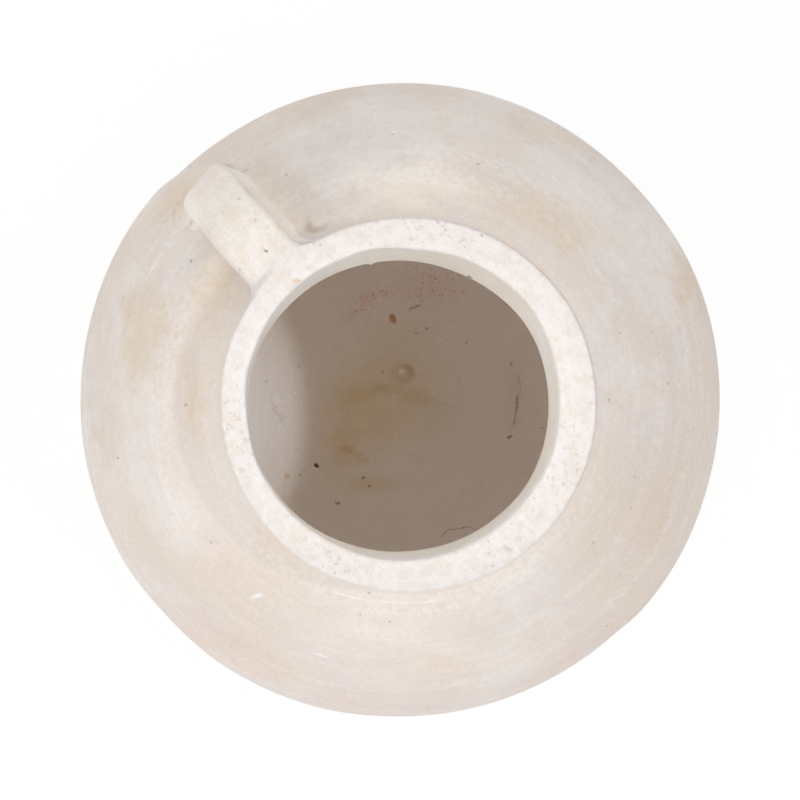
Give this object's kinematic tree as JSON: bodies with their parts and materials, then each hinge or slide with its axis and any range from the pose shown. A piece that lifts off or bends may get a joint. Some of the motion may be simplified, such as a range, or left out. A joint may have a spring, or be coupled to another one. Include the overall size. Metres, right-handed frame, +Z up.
{
  "type": "bulbous jug",
  "caption": "Unglazed clay jug with a round body, short neck, thick flat rim and one strap handle from rim to shoulder.",
  "frame": {"origin": "middle of the flat underside, on the body's axis", "axes": "+Z up out of the mouth, +X towards the handle"},
  "size_m": [0.3, 0.3, 0.258],
  "materials": {
    "body_clay": "unglazed, brushed, mottled",
    "neck_clay": "unglazed, smoothed",
    "rim_clay": "unglazed, flat, gritty",
    "handle_clay": "unglazed, smoothed",
    "luting_clay": "unglazed, wiped"
  },
  "bodies": {
    "root": {"base_slab": "body_clay", "lower_body": "body_clay", "upper_body": "body_clay", "neck_collar": "neck_clay", "rim_band": "rim_clay", "handle_strap": "handle_clay", "handle_rim_joint": "luting_clay", "handle_shoulder_joint": "luting_clay"}
  },
  "joints": []
}
